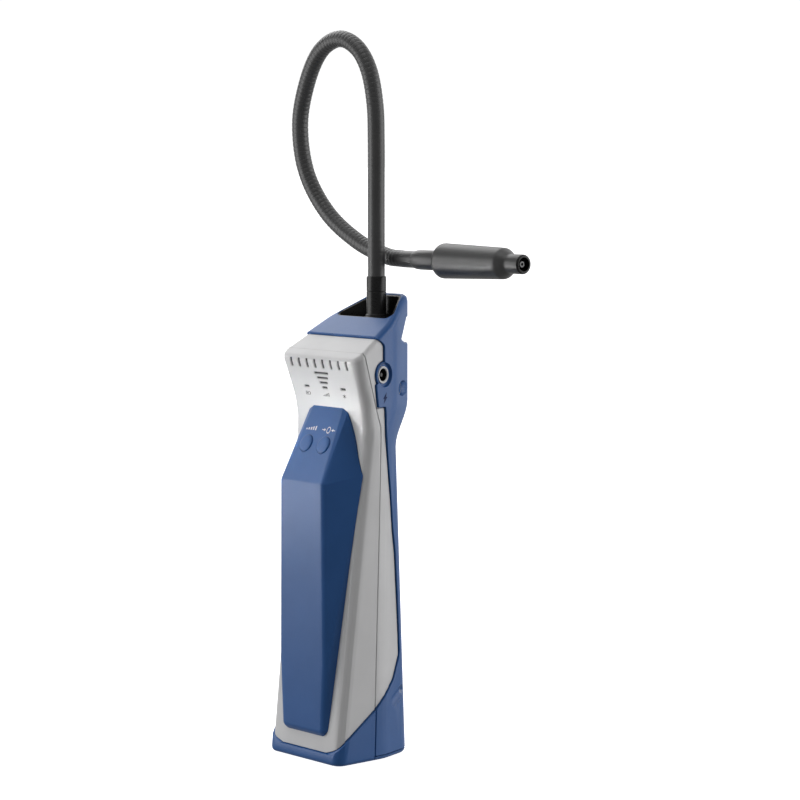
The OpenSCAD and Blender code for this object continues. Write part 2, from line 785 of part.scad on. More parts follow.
module well_liner() color(black) {
    difference() {
        intersection() {
            well_space(liner, well_floor - liner);
            across([[-far, -far], [far, -far],
                    [far, well_rim + far * top_k], [-far, well_rim - far * top_k]]);
        }
        well_space(0, well_floor);
        translate([0, neck_y, 0])
            cylinder(d = shank_d, h = far);
    }
}
module hose_collar() color(black) {
    translate([0, neck_y, 0])
        difference() {
            union() {
                translate([0, 0, well_floor])
                    cylinder(d = flange_d, h = flange_t);
                translate([0, 0, collar_low])
                    cylinder(d = collar_d, h = collar_l);
                translate([0, 0, well_floor - liner - nut_t])
                    cylinder(d = shank_d, h = liner + nut_t + eps);
                translate([0, 0, well_floor - liner - nut_t - nipple_l])
                    cylinder(d = tube_d, h = nipple_l + eps);
            }
            translate([0, 0, neck_low])
                cylinder(d = neck_bore, h = far);
            cylinder(d = inlet_bore, h = far);
        }
}
module collar_sleeve() color(black) {
    translate([0, neck_y, collar_high])
        difference() {
            cylinder(d = collar_d, h = sleeve_l);
            translate([0, 0, -eps])
                cylinder(d = neck_bore, h = far);
        }
}
module collar_nut() color(steel) {
    translate([0, neck_y, well_floor - liner - nut_t])
        difference() {
            cylinder(d = flange_d, h = nut_t, $fn = 6);
            translate([0, 0, -eps])
                cylinder(d = shank_d, h = far);
        }
}
// A smooth route: the gooseneck from its collar over its loop to the probe, with a straight end in its cuff
neck_route = [[0, 0, 0], [0, 0, 20], [0, 0, 45], [0, 0, 70], [-1, 0, 90], [-6, 0, 108], [-16, 0, 120],
              [-32, 1, 125], [-49, 2, 119], [-63, 4, 103], [-72, 6, 80], [-69, 8, 54], [-53, 10, 32],
              [-28, 11, 17], [-5, 11, 10.3], [7, 11, 9.2], [17, 11, 9], [30, 11, 9], [43, 11, 9]];
neck_steps = 4;
neck_sides = 12;
tube_sides = 8;
function spline(p, n) = let (m = len(p)) concat([for (i = [0 : m - 2], k = [0 : n - 1])
    let (t = k / n, a = p[max(i - 1, 0)], b = p[i], c = p[i + 1], d = p[min(i + 2, m - 1)])
    (2 * b + (c - a) * t + (2 * a - 5 * b + 4 * c - d) * t * t + (3 * b - a - 3 * c + d) * t * t * t) / 2],
    [p[m - 1]]);
function ring(o, u, d, sides) = let (s = unit(cross(u, [0, 1, 0])), w = cross(s, u))
    [for (i = [0 : sides - 1]) let (a = 360 * i / sides) o + d / 2 * (cos(a) * s + sin(a) * w)];
function tube_rings(p, d, sides) = let (m = len(p)) [for (i = [0 : m - 1])
    ring(p[i], unit(p[min(i + 1, m - 1)] - p[max(i - 1, 0)]), d, sides)];
neck_path = [for (p = spline(neck_route, neck_steps)) p + [0, neck_y, neck_out]];
neck_end = neck_path[len(neck_path) - 1];
module gooseneck() color(dark) {
    loft(tube_rings(concat([[0, neck_y, neck_low]], neck_path), neck_d, neck_sides));
}
pump_low = 88;
pump_depth = 13;
pump_top = pump_low + motor_l + pump_head_l;
nipple_low = well_floor - liner - nut_t - nipple_l;
// The sample tube rises from the pump, turns back over the main board and ends on the collar's nipple
tube_x = pump_w / 4;
tube_y = board_y - tube_d / 2 - clearance;
tube_turn = board_top - tube_d;
tube_end = nipple_low - tube_d;
tube_steps = 12;
module sample_tube() color(lens_dark) {
    turns = [for (i = [0 : tube_steps]) mix(tube_turn, tube_end, i / tube_steps)];
    loft(tube_rings([for (z = concat([pump_top], turns, [nipple_low]))
                     let (t = smooth((z - tube_turn) / (tube_end - tube_turn)))
                     [mix(tube_x, 0, t), mix(tube_y, neck_y, t), z]], tube_d, tube_sides));
}
module pump_head() color(dark) {
    translate([-pump_w / 2, board_y - pump_depth, pump_low + motor_l])
        cube([pump_w, pump_depth, pump_head_l]);
}
module pump_motor() color(steel) {
    translate([0, board_y - motor_d / 2, pump_low])
        cylinder(d = motor_d, h = motor_l);
}
module main_board() color(board_green) {
    translate([0, 0, board_h])
        bar(board_w, board_l, board_y, board_back, r = 2);
}
sounder_wall = 1;
module sounder() color(black) {
    translate([0, 0, pump_low - sounder_d])
        difference() {
            along_y(sounder_d, board_y - sounder_l, board_y);
            along_y(inlet_bore, board_y - sounder_l - eps, board_y - sounder_wall);
        }
}
module battery_stick() color("#6f7a3c") {
    translate([0, battery_y, battery_low])
        cylinder(d = battery_d, h = battery_l);
}
module battery_contact() color(steel) {
    translate([-battery_d / 4, battery_y - battery_d / 4, battery_top])
        cube([battery_d / 2, battery_d / 2, contact_t]);
}
head_seat = screw_seat + lens_fit;
head_d = screw_d * 1.9;
head_h = screw_d * 0.75;
drive_w = screw_d / 5;
module case_screws() color(steel) {
    at_screws() {
        along_y(screw_d, screw_tip, head_seat + head_h / 2);
        difference() {
            along_y(head_d, head_seat, head_seat + head_h);
            for (turn = [0, 90])
                rotate([0, turn, 0])
                    translate([-screw_d, head_seat + head_h / 2, -drive_w / 2])
                        cube([2 * screw_d, head_h, drive_w]);
        }
    }
}
jack_pin = 2;
jack_back = 1.5;
module jack_socket() color(black) {
    at_jack()
        difference() {
            translate([0, 0, -jack_l - wall])
                cylinder(d = jack_body_d, h = jack_l + wall - jack_floor);
            translate([0, 0, jack_back - jack_l - wall])
                difference() {
                    cylinder(d = jack_bore, h = far);
                    cylinder(d = jack_pin, h = jack_l);
                }
        }
}
module jack_ring() color(steel) {
    at_jack()
        difference() {
            translate([0, 0, 2 * lens_fit - skin])
                cylinder(d = jack_ring_d, h = skin);
            cylinder(d = jack_body_d, h = 4 * skin, center = true);
        }
}
// The probe points along +X from the end of the gooseneck
barrel_wall = 3;
barrel_r = 3;
cuff_x = neck_end.x - cuff_l - barrel_wall;
barrel_x = cuff_x + cuff_l;
module on_probe() translate([0, neck_end.y, neck_end.z]) rotate([0, 90, 0]) children();
module probe_cuff() color(black) {
    on_probe()
        translate([0, 0, cuff_x])
            difference() {
                cylinder(d = collar_d, h = cuff_l);
                translate([0, 0, -eps])
                    cylinder(d = neck_bore, h = far);
            }
}
cell_x = barrel_x + barrel_wall;
nose_x = barrel_x + barrel_l + shoulder_l;
probe_tip = nose_x + nose_l;
tip_r = 1;
shoulder_edge = [barrel_tip_d / 2, barrel_x + barrel_l];
module probe_boot() color(dark) {
    on_probe()
        rotate_extrude()
            polygon(concat(
                [[neck_bore / 2, barrel_x]],
                arc([neck_bore / 2, barrel_x], [barrel_d / 2, barrel_x], shoulder_edge, barrel_r, 6),
                [shoulder_edge, [nose_d / 2, nose_x]],
                arc([nose_d / 2, nose_x], [nose_d / 2, probe_tip], [nose_bore / 2, probe_tip], tip_r, 4),
                [[nose_bore / 2, probe_tip], [nose_bore / 2, cell_x + cell_l], [cell_d / 2, cell_x + cell_l],
                 [cell_d / 2, cell_x], [neck_bore / 2, cell_x]]));
}
inlet_seat = 2;
inlet_sunk = 1.5;
inlet_x = cell_x + cell_l - inlet_seat;
module infrared_cell() color(steel) {
    on_probe()
        difference() {
            translate([0, 0, cell_x])
                cylinder(d = cell_d, h = cell_l);
            translate([0, 0, inlet_x])
                cylinder(d = inlet_d, h = far);
        }
}
filter_t = 2;
module filter_disc() color("#d8d4c8") {
    on_probe()
        difference() {
            translate([0, 0, cell_x + cell_l])
                cylinder(d = nose_bore, h = filter_t);
            cylinder(d = inlet_d, h = far);
        }
}
module inlet_tube() color(steel) {
    on_probe()
        difference() {
            translate([0, 0, inlet_x])
                cylinder(d = inlet_d, h = probe_tip - inlet_sunk - inlet_x);
            cylinder(d = inlet_bore, h = far);
        }
}
hook_t = 1.4;
hook_l = 7;
hook_x = bay_w / 2 - 2 * clearance;
hook_lip = 1.6;
hook_y = bay_back - door_travel - hook_l - 2 * clearance;
module battery_door() color(soft_blue) {
    intersection() {
        case_form(-proud, base_r = base_edge_r);
        translate([-far / 2, clearance - seam_base, 0])
            cube([far, far, door_t]);
    }
    for (side = [0, 1])
        mirror([side, 0, 0]) {
            translate([hook_x - hook_t, hook_y, door_t - eps])
                cube([hook_t, hook_l, case_floor + clearance + hook_t - door_t + eps]);
            translate([hook_x - hook_t, hook_y, case_floor + clearance])
                cube([hook_t + hook_lip, hook_l, hook_t]);
        }
}

front_shell();
front_boot();
grip_pad();
mode_button();
zero_button();
switch_board();
key_switches();
level_lens();
status_lens();
light_board();
rear_shell();
rear_skin();
battery_door();
well_liner();
hose_collar();
collar_sleeve();
collar_nut();
gooseneck();
sample_tube();
pump_head();
pump_motor();
main_board();
sounder();
battery_stick();
battery_contact();
case_screws();
jack_socket();
jack_ring();
probe_cuff();
probe_boot();
infrared_cell();
filter_disc();
inlet_tube();
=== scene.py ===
import bmesh
import bpy
import json
import math
from mathutils import Matrix, Vector


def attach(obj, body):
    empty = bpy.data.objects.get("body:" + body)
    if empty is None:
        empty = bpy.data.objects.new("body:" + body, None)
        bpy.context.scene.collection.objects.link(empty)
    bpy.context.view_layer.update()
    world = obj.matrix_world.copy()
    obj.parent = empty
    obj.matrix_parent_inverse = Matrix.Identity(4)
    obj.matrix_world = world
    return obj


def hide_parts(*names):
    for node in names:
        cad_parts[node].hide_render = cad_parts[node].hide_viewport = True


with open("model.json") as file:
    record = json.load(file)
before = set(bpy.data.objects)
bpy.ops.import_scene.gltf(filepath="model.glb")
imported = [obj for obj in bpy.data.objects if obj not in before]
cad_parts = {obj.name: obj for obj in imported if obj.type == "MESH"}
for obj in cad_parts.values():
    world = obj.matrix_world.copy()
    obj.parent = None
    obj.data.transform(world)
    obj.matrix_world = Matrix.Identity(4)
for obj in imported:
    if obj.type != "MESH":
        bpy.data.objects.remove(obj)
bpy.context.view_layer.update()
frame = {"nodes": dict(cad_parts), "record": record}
nodes = frame["nodes"]
mm = 0.001
print("frame loaded:", len(nodes), "nodes")


# camera at the photograph's angle
photoCamera = {
    "place": (1.131069, -0.922891, 0.316631), "turn": 49.7, "down": 5.0893,
    "lens": 125.82, "sensor": 36,
}


def setCamera(c):
    turn = (math.radians(90 - c["down"]), 0, math.radians(c["turn"]))
    bpy.ops.object.camera_add(location=c["place"], rotation=turn)
    cam = bpy.context.object
    cam.data.lens = c["lens"]
    cam.data.sensor_width = c["sensor"]
    bpy.context.scene.camera = cam


setCamera(photoCamera)
bpy.context.scene.view_settings.view_transform = "Standard"
print("camera set")


# hand tools
def clearAll():
    if bpy.context.object and bpy.context.object.mode != "OBJECT":
        bpy.ops.object.mode_set(mode="OBJECT")
    bpy.ops.object.select_all(action="DESELECT")


def takeUp(piece):
    clearAll()
    piece.select_set(True)
    bpy.context.view_layer.objects.active = piece
    return piece


def named(name):
    piece = bpy.context.object
    piece.name = name
    piece.data.name = name
    return piece


def pick(piece, kind, test):
    takeUp(piece)
    bpy.ops.object.mode_set(mode="EDIT")
    bpy.ops.mesh.select_mode(type=kind)
    bpy.ops.mesh.select_all(action="DESELECT")
    mesh = bmesh.from_edit_mesh(piece.data)
    mesh.normal_update()
    found = 0
    for part in {"VERT": mesh.verts, "EDGE": mesh.edges, "FACE": mesh.faces}[kind]:
        if test(part):
            part.select_set(True)
            found += 1
    mesh.select_flush_mode()
    bmesh.update_edit_mesh(piece.data)
    return found


def leave():
    bpy.ops.object.mode_set(mode="OBJECT")


def settle(piece):
    takeUp(piece)
    bpy.ops.object.transform_apply(location=True, rotation=True, scale=True)
    return piece


def useModifier(piece, kind, **values):
    takeUp(piece)
    change = piece.modifiers.new(kind.lower(), kind)
    for key, value in values.items():
        setattr(change, key, value)
    bpy.ops.object.modifier_apply(modifier=change.name)
    return piece


def smooth(piece, angle):
    takeUp(piece)
    bpy.ops.object.shade_smooth_by_angle(angle=math.radians(angle))
    return piece


def copyOf(piece, name):
    other = piece.copy()
    other.data = piece.data.copy()
    other.name = name
    other.data.name = name
    bpy.context.scene.collection.objects.link(other)
    return other


def joined(pieces, name):
    takeUp(pieces[0])
    for piece in pieces:
        piece.select_set(True)
    if len(pieces) > 1:
        bpy.ops.object.join()
    return named(name)


def dress(piece, finish, body="case", replaced=()):
    piece.data.materials.clear()
    piece.data.materials.append(finish)
    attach(piece, body)
    if replaced:
        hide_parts(*replaced)
    return piece


# finishes
def newFinish(name, **sockets):
    finish = bpy.data.materials.new(name)
    finish.use_nodes = True
    shader = finish.node_tree.nodes["Principled BSDF"]
    for key, value in sockets.items():
        shader.inputs[key.replace("_", " ")].default_value = value
    return finish, finish.node_tree, shader


def noiseOn(tree, size, detail=3):
    where = tree.nodes.new("ShaderNodeTexCoord")
    noise = tree.nodes.new("ShaderNodeTexNoise")
    noise.inputs["Scale"].default_value = 1 / (size * mm)
    noise.inputs["Detail"].default_value = detail
    tree.links.new(where.outputs["Object"], noise.inputs["Vector"])
    return noise


def tintBetween(tree, shader, noise, dark, light, low=0.35, high=0.65):
    ramp = tree.nodes.new("ShaderNodeValToRGB")
    ramp.color_ramp.elements[0].position = low
    ramp.color_ramp.elements[1].position = high
    ramp.color_ramp.elements[0].color = (*dark, 1)
    ramp.color_ramp.elements[1].color = (*light, 1)
    tree.links.new(noise.outputs["Fac"], ramp.inputs["Fac"])
    tree.links.new(ramp.outputs["Color"], shader.inputs["Base Color"])


def roughBetween(tree, shader, noise, low, high):
    spread = tree.nodes.new("ShaderNodeMapRange")
    spread.inputs["From Min"].default_value = 0.3
    spread.inputs["From Max"].default_value = 0.7
    spread.inputs["To Min"].default_value = low
    spread.inputs["To Max"].default_value = high
    tree.links.new(noise.outputs["Fac"], spread.inputs["Value"])
    tree.links.new(spread.outputs["Result"], shader.inputs["Roughness"])


def grainBump(tree, shader, noise, depth, strength=0.5):
    bump = tree.nodes.new("ShaderNodeBump")
    bump.inputs["Strength"].default_value = strength
    bump.inputs["Distance"].default_value = depth * mm
    tree.links.new(noise.outputs["Fac"], bump.inputs["Height"])
    tree.links.new(bump.outputs["Normal"], shader.inputs["Normal"])


def moulded(name, dark, light, rough, grain, depth, cloud=18, **sockets):
    finish, tree, shader = newFinish(name, **sockets)
    tintBetween(tree, shader, noiseOn(tree, cloud, 2), dark, light)
    fine = noiseOn(tree, grain, 4)
    roughBetween(tree, shader, fine, *rough)
    grainBump(tree, shader, fine, depth)
    return finish


def grey(value):
    return (value, value, value * 1.01)


skinBlues = ((0.015, 0.093, 0.3), (0.018, 0.1, 0.32))
finishes = {
    "case_plastic": moulded("silverGrey", grey(0.615), grey(0.645), (0.38, 0.5), 0.5, 0.02),
    "soft_blue": moulded("softBlueSkin", *skinBlues, (0.36, 0.46), 0.35, 0.03),
    "button_blue": moulded("buttonBlue", *skinBlues, (0.36, 0.46), 0.35, 0.02),
    "black_plastic": moulded("satinBlack", grey(0.008), grey(0.012), (0.24, 0.34), 0.4, 0.008,
                             Specular_IOR_Level=0.36),
    "black_rubber": moulded("charcoalRubber", grey(0.034), grey(0.041), (0.36, 0.46), 0.3, 0.02,
                            Specular_IOR_Level=0.7),
    "neck_sheath": moulded("neckSheath", grey(0.052), grey(0.06), (0.32, 0.42), 0.3, 0.012,
                           Specular_IOR_Level=0.6),
    "dark_plastic": moulded("darkInner", grey(0.02), grey(0.03), (0.5, 0.6), 0.5, 0.02),
    "lens": moulded("smokedLens", grey(0.03), grey(0.05), (0.42, 0.52), 2.0, 0.005,
                    Specular_IOR_Level=0.3),
    "steel": moulded("brightSteel", grey(0.5), grey(0.6), (0.24, 0.36), 0.25, 0.004, Metallic=1.0),
    "circuit_board": moulded("greenBoard", (0.012, 0.07, 0.03), (0.02, 0.1, 0.045),
                             (0.3, 0.42), 1.2, 0.02),
    "clear_tube": moulded("milkyTube", grey(0.6), grey(0.68), (0.22, 0.34), 0.8, 0.01),
    "battery_wrap": moulded("batterySleeve", (0.03, 0.05, 0.09), (0.05, 0.08, 0.14),
                            (0.24, 0.34), 3.0, 0.01),
    "filter_felt": moulded("filterFelt", grey(0.5), grey(0.64), (0.8, 0.95), 0.12, 0.06),
}
ringSilver = moulded("ringSilver", grey(0.56), grey(0.62), (0.26, 0.36), 0.3, 0.006,
                     Specular_IOR_Level=0.7)
dullNickel = moulded("dullNickel", grey(0.14), grey(0.18), (0.4, 0.5), 0.3, 0.004, Metallic=1.0)
whitePrint = moulded("whitePrint", grey(0.66), grey(0.74), (0.45, 0.6), 0.2, 0.004, cloud=2)
darkPrint = moulded("darkPrint", grey(0.045), grey(0.07), (0.45, 0.6), 0.2, 0.004, cloud=2)
bluePrint = moulded("bluePrint", (0.003, 0.018, 0.08), (0.004, 0.022, 0.095), (0.5, 0.6), 0.2, 0.004,
                    cloud=2, Specular_IOR_Level=0.15)
for subpart in frame["record"]["subparts"]:
    mesh = nodes[subpart["node"]].data
    mesh.materials.clear()
    mesh.materials.append(finishes[subpart["material_slot"]])
nodes["inlet_tube"].data.materials[0] = dullNickel
print("finishes ready:", len(finishes))


# shells: the solids' own forms, merged, with eased edges and smooth curves
shells = {
    "front_shell": {"name": "frontCase", "slot": "case_plastic", "ease": 0.3},
    "rear_shell": {"name": "rearCase", "slot": "case_plastic", "ease": 0.3},
    "rear_skin": {"name": "backSkin", "slot": "soft_blue", "ease": 0.35, "ledge": 216.6},
    "front_boot": {"name": "footBoot", "slot": "soft_blue", "ease": 0.35},
    "grip_pad": {"name": "gripPad", "slot": "soft_blue", "ease": 0.3, "facet": 2.0},
    "battery_door": {"name": "batteryDoor", "slot": "soft_blue", "ease": 0.35, "body": "battery_door"},
    "well_liner": {"name": "wellLiner", "slot": "black_plastic", "ease": 0.25},
}
shellCare = {"merge": 0.12, "sliver": 0.05, "flat": 0.6, "edge": 58, "smooth": 40}   # mm, mm, then degrees
ridge = {"front": -0.3, "least": 12, "most": 75, "steps": 4}
ledge = {"near": 0.2, "least": 75, "width": 1.1, "steps": 4}


def turnAt(edge):
    return math.degrees(edge.calc_face_angle(0))


def easeFacets(piece, width):
    def frontRidge(edge):
        fronts = [face.normal.y < ridge["front"] for face in edge.link_faces]
        shared = len(fronts) == 2 and all(fronts)
        return shared and edge.is_convex and ridge["least"] < turnAt(edge) < ridge["most"]
    found = pick(piece, "EDGE", frontRidge)
    bpy.ops.mesh.bevel(offset=width * mm, offset_type="WIDTH", segments=ridge["steps"], profile=0.5,
                       clamp_overlap=True)
    leave()
    print("ridges eased:", found)


def easeLedge(piece, height):
    def onLedge(edge):
        level = all(abs(spot.co.z / mm - height) < ledge["near"] for spot in edge.verts)
        return level and len(edge.link_faces) == 2 and edge.is_convex and turnAt(edge) > ledge["least"]
    found = pick(piece, "EDGE", onLedge)
    bpy.ops.mesh.bevel(offset=ledge["width"] * mm, offset_type="OFFSET", segments=ledge["steps"],
                       profile=0.5, clamp_overlap=True)
    leave()
    print("ledge eased:", found)


def softenedShell(node, s):
    piece = bpy.data.objects.new(s["name"], nodes[node].data.copy())
    bpy.context.scene.collection.objects.link(piece)
    pick(piece, "FACE", lambda face: True)
    bpy.ops.mesh.remove_doubles(threshold=shellCare["merge"] * mm)   # very short edges spoil the easing
    bpy.ops.mesh.dissolve_degenerate(threshold=shellCare["sliver"] * mm)
    bpy.ops.mesh.dissolve_limited(angle_limit=math.radians(shellCare["flat"]))
    leave()
    if "facet" in s:
        easeFacets(piece, s["facet"])
    if "ledge" in s:
        easeLedge(piece, s["ledge"])
    useModifier(piece, "BEVEL", width=s["ease"] * mm, segments=2, limit_method="ANGLE",
                angle_limit=math.radians(shellCare["edge"]), use_clamp_overlap=False, harden_normals=False)
    smooth(piece, shellCare["smooth"])
    useModifier(piece, "WEIGHTED_NORMAL", keep_sharp=True)
    return dress(piece, finishes[s["slot"]], s.get("body", "case"), [node])


made = {}
for node, values in shells.items():
    shell = softenedShell(node, values)
    made[shell.name] = shell
    print("shell", shell.name, len(shell.data.polygons), "faces")


# the screw pockets and the lower scoops have a glossier blue
pockets = [{"across": 20, "low": 193, "high": 193}, {"across": 14, "low": 24, "high": 32}]
pocketWall = {"radius": 4.3, "front": 12.6}
scoop = {"across": 20, "low": 24, "high": 38, "front": 12, "facet": 1.4}
glossBlue = moulded("glossBlue", (0.02, 0.1, 0.3), (0.024, 0.108, 0.32), (0.14, 0.22), 0.6, 0.01,
                    Specular_IOR_Level=0.8)


def paintWhere(piece, finish, test):
    piece.data.materials.append(finish)
    found = pick(piece, "FACE", test)
    piece.active_material_index = len(piece.data.materials) - 1
    bpy.ops.object.material_slot_assign()
    leave()
    print("painted", piece.name, found, "faces")


def inPocket(face):
    x, y, z = face.calc_center_median() / mm
    if y < pocketWall["front"]:
        return False
    for w in pockets:
        rise = z - min(max(z, w["low"]), w["high"])
        if math.hypot(abs(x) - w["across"], rise) < pocketWall["radius"]:
            return True
    return False


def inScoop(face):
    x, y, z = face.calc_center_median() / mm
    small = face.calc_area() / mm / mm < scoop["facet"]
    atSide = abs(x) > scoop["across"] and y > scoop["front"]
    return small and atSide and scoop["low"] < z < scoop["high"]


paintWhere(made["rearCase"], glossBlue, inPocket)
paintWhere(made["backSkin"], glossBlue, inScoop)


# turned pieces: a ring extruded and scaled from station to station along its own axis
turning = {"merge": 0.003, "smooth": 35, "capSmooth": 40}
pole = 0.001   # a ring this small closes an end


def turned(name, rings, sides):
    clearAll()
    first, radius = rings[0]
    bpy.ops.mesh.primitive_circle_add(vertices=sides, radius=radius * mm, location=(0, 0, 0))
    piece = named(name)
    bpy.ops.object.mode_set(mode="EDIT")
    bpy.ops.mesh.select_mode(type="EDGE")
    bpy.ops.mesh.select_all(action="SELECT")
    bpy.ops.transform.translate(value=(0, 0, first * mm))
    for station, wide in rings[1:]:
        bpy.ops.mesh.extrude_region_move(TRANSFORM_OT_translate={"value": (0, 0, (station - first) * mm)})
        k = wide / radius
        bpy.ops.transform.resize(value=(k, k, 1), center_override=(0, 0, station * mm))
        first, radius = station, wide
    bpy.ops.mesh.select_all(action="SELECT")
    bpy.ops.mesh.remove_doubles(threshold=turning["merge"] * mm)
    bpy.ops.mesh.normals_make_consistent(inside=False)
    leave()
    return piece


def stand(piece, place, axis):
    turn = Vector(axis).to_track_quat("Z", "Y").to_matrix().to_4x4()
    piece.matrix_world = Matrix.Translation(Vector(place) * mm) @ turn
    return settle(piece)


def arc(station, radius, corner, start, end, steps):
    turns = [math.radians(start + (end - start) * i / steps) for i in range(steps + 1)]
    return [(station + corner * math.sin(a), radius + corner * math.cos(a)) for a in turns]


def turnedPiece(p, slot, replaced, finish=None):
    piece = stand(turned(p["name"], p["rings"], p["sides"]), p["place"], p["axis"])
    smooth(piece, turning["smooth"])
    print("turned", piece.name, len(piece.data.polygons), "faces")
    return dress(piece, finish or finishes[slot], "case", replaced)


# hose collar: nipple, shank, stepped flange and socket
collar = {
    "name": "hoseCollar", "place": (0, 20, 0), "axis": (0, 0, 1), "sides": 72,
    "rings": [(221.6, 0.8), (221.6, 1.8), (221.8, 2.0), (224.6, 2.0), (224.6, 3.5), (228.6, 3.5),
              (228.6, 6.65), (228.8, 6.88), (229.4, 6.9), (229.7, 6.7), (229.8, 6.1), (230.0, 5.8),
              (230.7, 5.75), (230.95, 5.55), (231.1, 5.3), (231.4, 5.2), (242.75, 5.2), (243.0, 5.0),
              (243.0, 4.55), (232.0, 4.55), (232.0, 0.8), (221.6, 0.8)],
}
turnedPiece(collar, "black_plastic", ["hose_collar"])

# collar sleeve: a plain band with eased rims
sleeve = {
    "name": "collarSleeve", "place": (0, 20, 0), "axis": (0, 0, 1), "sides": 72,
    "rings": [(243.0, 4.55), (243.0, 5.0), (243.15, 5.18), (243.4, 5.2), (250.4, 5.2), (250.8, 5.1),
              (251.0, 4.85), (251.0, 4.55), (243.0, 4.55)],
}
turnedPiece(sleeve, "black_plastic", ["collar_sleeve"])

# probe cuff: shrunk on to the sheath, with a drawn-in end
cuff = {
    "name": "probeCuff", "place": (0, 31, 260), "axis": (1, 0, 0), "sides": 64,
    "rings": [(19.5, 4.55), (19.5, 4.62), (19.8, 4.78), (20.6, 4.94), (21.8, 5.08), (23.4, 5.17),
              (25.5, 5.2), (39.7, 5.2), (40.0, 5.05), (40.0, 4.55), (19.5, 4.55)],
}
turnedPiece(cuff, "neck_sheath", ["probe_cuff"])

# probe boot: round rear rim, tapered barrel, soft shoulder, nose and bore
probe = {
    "name": "probeBoot", "place": (0, 31, 260), "axis": (1, 0, 0), "sides": 96,
    "rings": [(40.0, 4.55), *arc(43, 6.2, 3, -90, 0, 8), (44.5, 9.16), (86.6, 8.07), (87.6, 8.0),
              (88.3, 7.8), (92.1, 5.5), (92.8, 5.15), (93.6, 5.02), (94.5, 5.0),
              *arc(101.5, 4.0, 1, 0, 90, 5)[:-1], (102.5, 3.6), (77.0, 3.6), (77.0, 6.2), (43.0, 6.2),
              (43.0, 4.55), (40.0, 4.55)],
}
mouth = {"lip": 101.7, "bore": 77.1, "radius": 3.7}   # the part of the nose that is black
barrel = turnedPiece(probe, "black_rubber", ["probe_boot"])


def atMouth(face):
    x, y, z = face.calc_center_median() / mm
    off = math.hypot(y - probe["place"][1], z - probe["place"][2])
    inBore = x > mouth["bore"] and off < mouth["radius"]
    return inBore or x > mouth["lip"]


paintWhere(barrel, finishes["black_plastic"], atMouth)

# painted shade: a thin black ring round the barrel's rear rim stands in for the dark shade along its rounded
# edge
rimShadeRing = {
    "name": "paintedRimShade", "place": (0, 31, 260), "axis": (1, 0, 0), "sides": 96,
    "rings": [(40.62, 7.9), *arc(43, 6.25, 3, -55, -17, 6), (42.15, 8.95), (40.62, 7.9)],
}
turnedPiece(rimShadeRing, "black_plastic", [])

# jack ring: a bright rolled rim round the bore
jackRing = {
    "name": "jackRing", "place": (28.1921, 1.2, 201.5), "axis": (0.970348, 0.241714, 0), "sides": 64,
    "rings": [(-1.1, 3.97), (-1.1, 4.5), (-0.1, 4.5), (0.05, 4.42), (0.1, 4.25), (0.1, 3.85),
              (0.02, 3.62), (-0.15, 3.4), (-0.5, 3.3), (-0.55, 3.97), (-1.1, 3.97)],
}
turnedPiece(jackRing, "steel", ["jack_ring"], ringSilver)

# buttons: one soft cap with its skirt and flange, modelled once and copied
button = {
    "name": "modeCap", "place": (0, -21.767, 165), "axis": (0, -0.8994, 0.4371), "sides": 64,
    "across": 7.1,
    "rings": [(-5.55, pole), (-5.55, 5.7), (-5.4, 5.85), (-4.7, 5.85), (-4.55, 5.7), (-4.55, 4.5),
              (-0.9, 4.5), (-0.5, 4.78), (0.02, 4.79), (0.22, 4.7), (0.45, 4.45), (0.62, 4.0),
              (0.74, 3.2), (0.8, 2.0), (0.82, pole)],
}
cap = stand(turned(button["name"], button["rings"], button["sides"]), button["place"], button["axis"])
smooth(cap, turning["capSmooth"])
for piece, side, node in ((copyOf(cap, "zeroCap"), 1, "zero_button"), (cap, -1, "mode_button")):
    piece.location.x = side * button["across"] * mm
    settle(piece)
    dress(piece, finishes["button_blue"], node, [node])
print("buttons capped")


# gooseneck: a swept sheath with a fine groove at each pitch
neck = {
    "base": (0, 20, 251), "low": 232, "d": 9.0, "pitch": 2.6, "groove": 0.17, "sides": 28,
    "steps": 60, "merge": 0.001, "smooth": 50,
    "marks": [(0.0, 0.0), (0.1, 0.7), (0.2, 1.0), (0.8, 1.0), (0.9, 0.7)],   # of a pitch, of full width
    "closed": {"share": 0.3, "below": 340, "across": 1.5, "front": 21},   # closed up on the straight run
    "fade": {"end": 16, "over": 14},   # no grooves near the cuff
    "route": [(0, 0, 0), (0, 0, 20), (0, 0, 45), (0, 0, 70), (-1, 0, 90), (-6, 0, 108), (-16, 0, 120),
              (-32, 1, 125), (-49, 2, 119), (-63, 4, 103), (-72, 6, 80), (-69, 8, 54), (-53, 10, 32),
              (-28, 11, 17), (-5, 11, 10.3), (7, 11, 9.2), (17, 11, 9), (30, 11, 9), (43, 11, 9)],
}


def routePoints(n):
    base = Vector(n["base"])
    stops = [Vector(p) + base for p in n["route"]]
    stops = [stops[0] * 2 - stops[1]] + stops + [stops[-1] * 2 - stops[-2]]
    line = []
    for a, b, c, d in zip(stops, stops[1:], stops[2:], stops[3:]):
        for j in range(n["steps"]):
            t = j / n["steps"]
            bend = (c - a) * t + (2 * a - 5 * b + 4 * c - d) * t * t + (3 * b - a - 3 * c + d) * t ** 3
            line.append(b + bend / 2)
    line.append(stops[-2])
    return line


def atEach(line, places):
    lengths = [0]
    for a, b in zip(line, line[1:]):
        lengths.append(lengths[-1] + (b - a).length)
    out, k = [], 0
    for s in places:
        s = min(max(s, 0), lengths[-1])
        while k < len(lengths) - 2 and lengths[k + 1] < s:
            k += 1
        out.append(line[k].lerp(line[k + 1], (s - lengths[k]) / (lengths[k + 1] - lengths[k])))
    return out, lengths[-1]


def grooveShare(n, p):
    closed = n["closed"]
    if p.z < closed["below"] and abs(p.x) < closed["across"] and p.y < closed["front"]:
        return closed["share"]
    return max(0.0, min(1.0, (n["fade"]["end"] - p.x) / n["fade"]["over"]))


